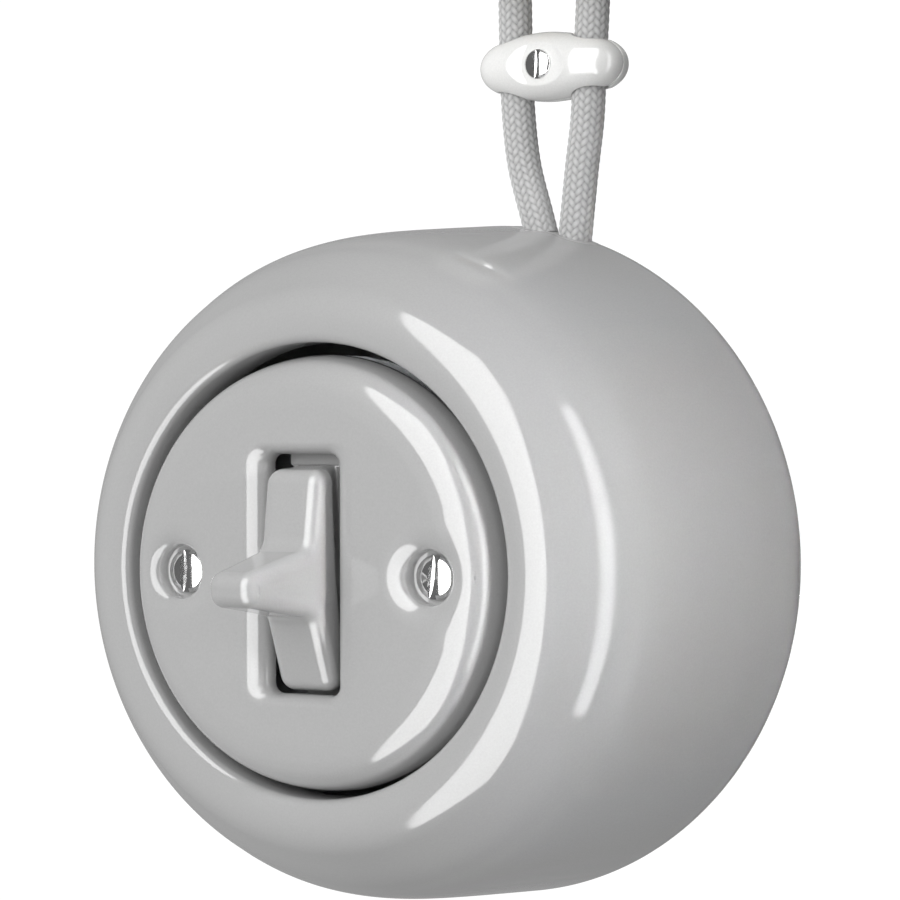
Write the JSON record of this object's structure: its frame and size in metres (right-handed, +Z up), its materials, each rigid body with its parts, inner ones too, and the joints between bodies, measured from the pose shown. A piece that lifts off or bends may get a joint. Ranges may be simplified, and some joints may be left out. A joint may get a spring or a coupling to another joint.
{
  "type": "porcelain toggle switch",
  "caption": "Round glazed porcelain toggle switch that hangs on two textile cords, with a rocking lever, a screwed cover, a cord clip and a small ceiling rose.",
  "frame": {"origin": "middle of the ceiling rose's flat top face, where the cords hang from the ceiling", "axes": "+Z up out of the ceiling face; the cover and its lever face -Y; +X is to the right seen from the front"},
  "size_m": [0.1122, 0.0925, 0.1671],
  "materials": {
    "glazed_porcelain_grey": "glossy mid-grey glaze",
    "glazed_porcelain_white": "glossy near-white glaze",
    "bright_steel": "nickel-plated steel, bright",
    "zinc_steel": "zinc-plated sheet steel",
    "brass": "plain brass",
    "base_compound": "black moulded insulating compound",
    "grey_rubber": "matt grey rubber",
    "grey_textile": "grey braided textile"
  },
  "bodies": {
    "switch": {"base_screw_left": "bright_steel", "base_screw_right": "bright_steel", "ceiling_plate": "zinc_steel", "ceiling_rose": "glazed_porcelain_white", "clip_front": "glazed_porcelain_white", "clip_nut": "zinc_steel", "clip_rear": "glazed_porcelain_white", "clip_screw": "bright_steel", "common_contact": "brass", "contact_pin": "bright_steel", "cord_bush": "grey_rubber", "cord_ferrule_left": "brass", "cord_ferrule_right": "brass", "cord_left": "grey_textile", "cord_right": "grey_textile", "cover_pillar_left": "brass", "cover_pillar_right": "brass", "cover_plate": "glazed_porcelain_grey", "cover_screw_left": "bright_steel", "cover_screw_right": "bright_steel", "cradle_ear_left": "zinc_steel", "cradle_ear_right": "zinc_steel", "fixed_contact_lower": "brass", "fixed_contact_upper": "brass", "housing": "glazed_porcelain_grey", "insert_base": "base_compound", "mounting_ring": "zinc_steel", "pivot_pin": "bright_steel", "ring_screw_lower": "bright_steel", "ring_screw_upper": "bright_steel", "terminal_common": "brass", "terminal_lower": "brass", "terminal_screw_common": "bright_steel", "terminal_screw_lower": "bright_steel", "terminal_screw_upper": "bright_steel", "terminal_upper": "brass"},
    "rocker": {"rocker": "glazed_porcelain_grey", "plunger": "brass", "plunger_spring": "bright_steel"},
    "contact": {"contact_seesaw": "brass"}
  },
  "joints": [
    {"name": "rocker_hinge", "type": "hinge", "parent": "switch", "child": "rocker", "pos_m": [-0.0123, -0.047, -0.111], "axis": [1, 0, 0], "range_deg": [-13, 0]},
    {"name": "contact_hinge", "type": "hinge", "parent": "switch", "child": "contact", "pos_m": [-0.0123, -0.0337, -0.111], "axis": [1, 0, 0], "range_deg": [0, 13.4]}
  ],
  "couplings": [
    {"joint": "contact_hinge", "follows": "rocker_hinge", "ratio": -1}
  ]
}
